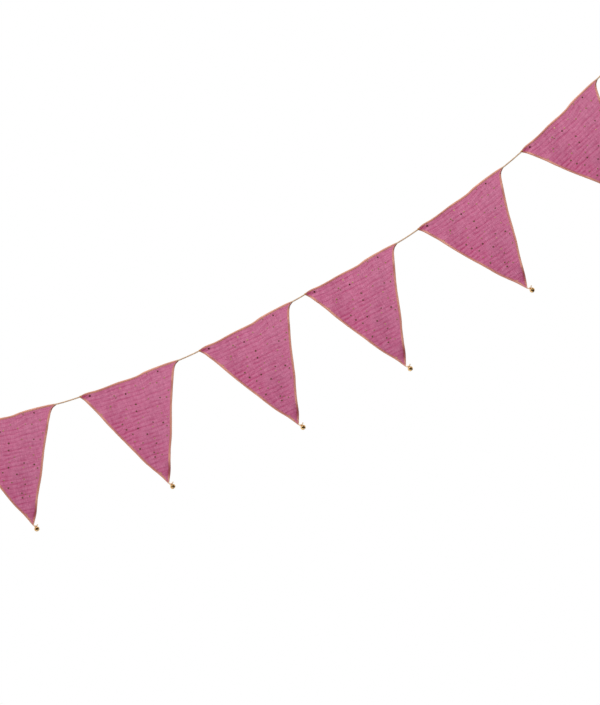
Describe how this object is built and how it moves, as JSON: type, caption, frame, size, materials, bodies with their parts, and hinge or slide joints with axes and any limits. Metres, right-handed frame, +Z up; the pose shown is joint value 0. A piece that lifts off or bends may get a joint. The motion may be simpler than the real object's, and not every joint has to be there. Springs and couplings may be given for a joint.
{
  "type": "fabric bunting with bells",
  "caption": "Hanging garland of triangular crinkled gauze pennants with metallic overlocked edges, a jingle bell tied to each tip, on a thin string with end loops.",
  "frame": {"origin": "where the upper hanging loop bears on its hook, at the inside of the loop's far end", "axes": "+X along the span towards the upper end, +Y away from the viewer through the cloth, +Z up"},
  "size_m": [1.4092, 0.0196, 0.932],
  "materials": {
    "gauze": "crinkled double gauze, matt, with scattered foil dots",
    "edging": "overlocked metallic thread over pink cloth",
    "gold_thread": "pale gold twisted thread, slight sheen",
    "brass": "polished brass"
  },
  "bodies": {
    "root": {"pennant_1": "gauze", "pennant_2": "gauze", "pennant_3": "gauze", "pennant_4": "gauze", "pennant_5": "gauze", "pennant_6": "gauze", "edging_top_1": "edging", "edging_top_2": "edging", "edging_top_3": "edging", "edging_top_4": "edging", "edging_top_5": "edging", "edging_top_6": "edging", "edging_left_1": "edging", "edging_left_2": "edging", "edging_left_3": "edging", "edging_left_4": "edging", "edging_left_5": "edging", "edging_left_6": "edging", "edging_right_1": "edging", "edging_right_2": "edging", "edging_right_3": "edging", "edging_right_4": "edging", "edging_right_5": "edging", "edging_right_6": "edging", "bell_1": "brass", "bell_2": "brass", "bell_3": "brass", "bell_4": "brass", "bell_5": "brass", "bell_6": "brass", "bell_tie_1": "gold_thread", "bell_tie_2": "gold_thread", "bell_tie_3": "gold_thread", "bell_tie_4": "gold_thread", "bell_tie_5": "gold_thread", "bell_tie_6": "gold_thread", "string_1": "gold_thread", "string_2": "gold_thread", "string_3": "gold_thread", "string_4": "gold_thread", "string_5": "gold_thread", "string_6": "gold_thread", "string_7": "gold_thread", "loop_left": "gold_thread", "loop_right": "gold_thread"}
  },
  "joints": []
}
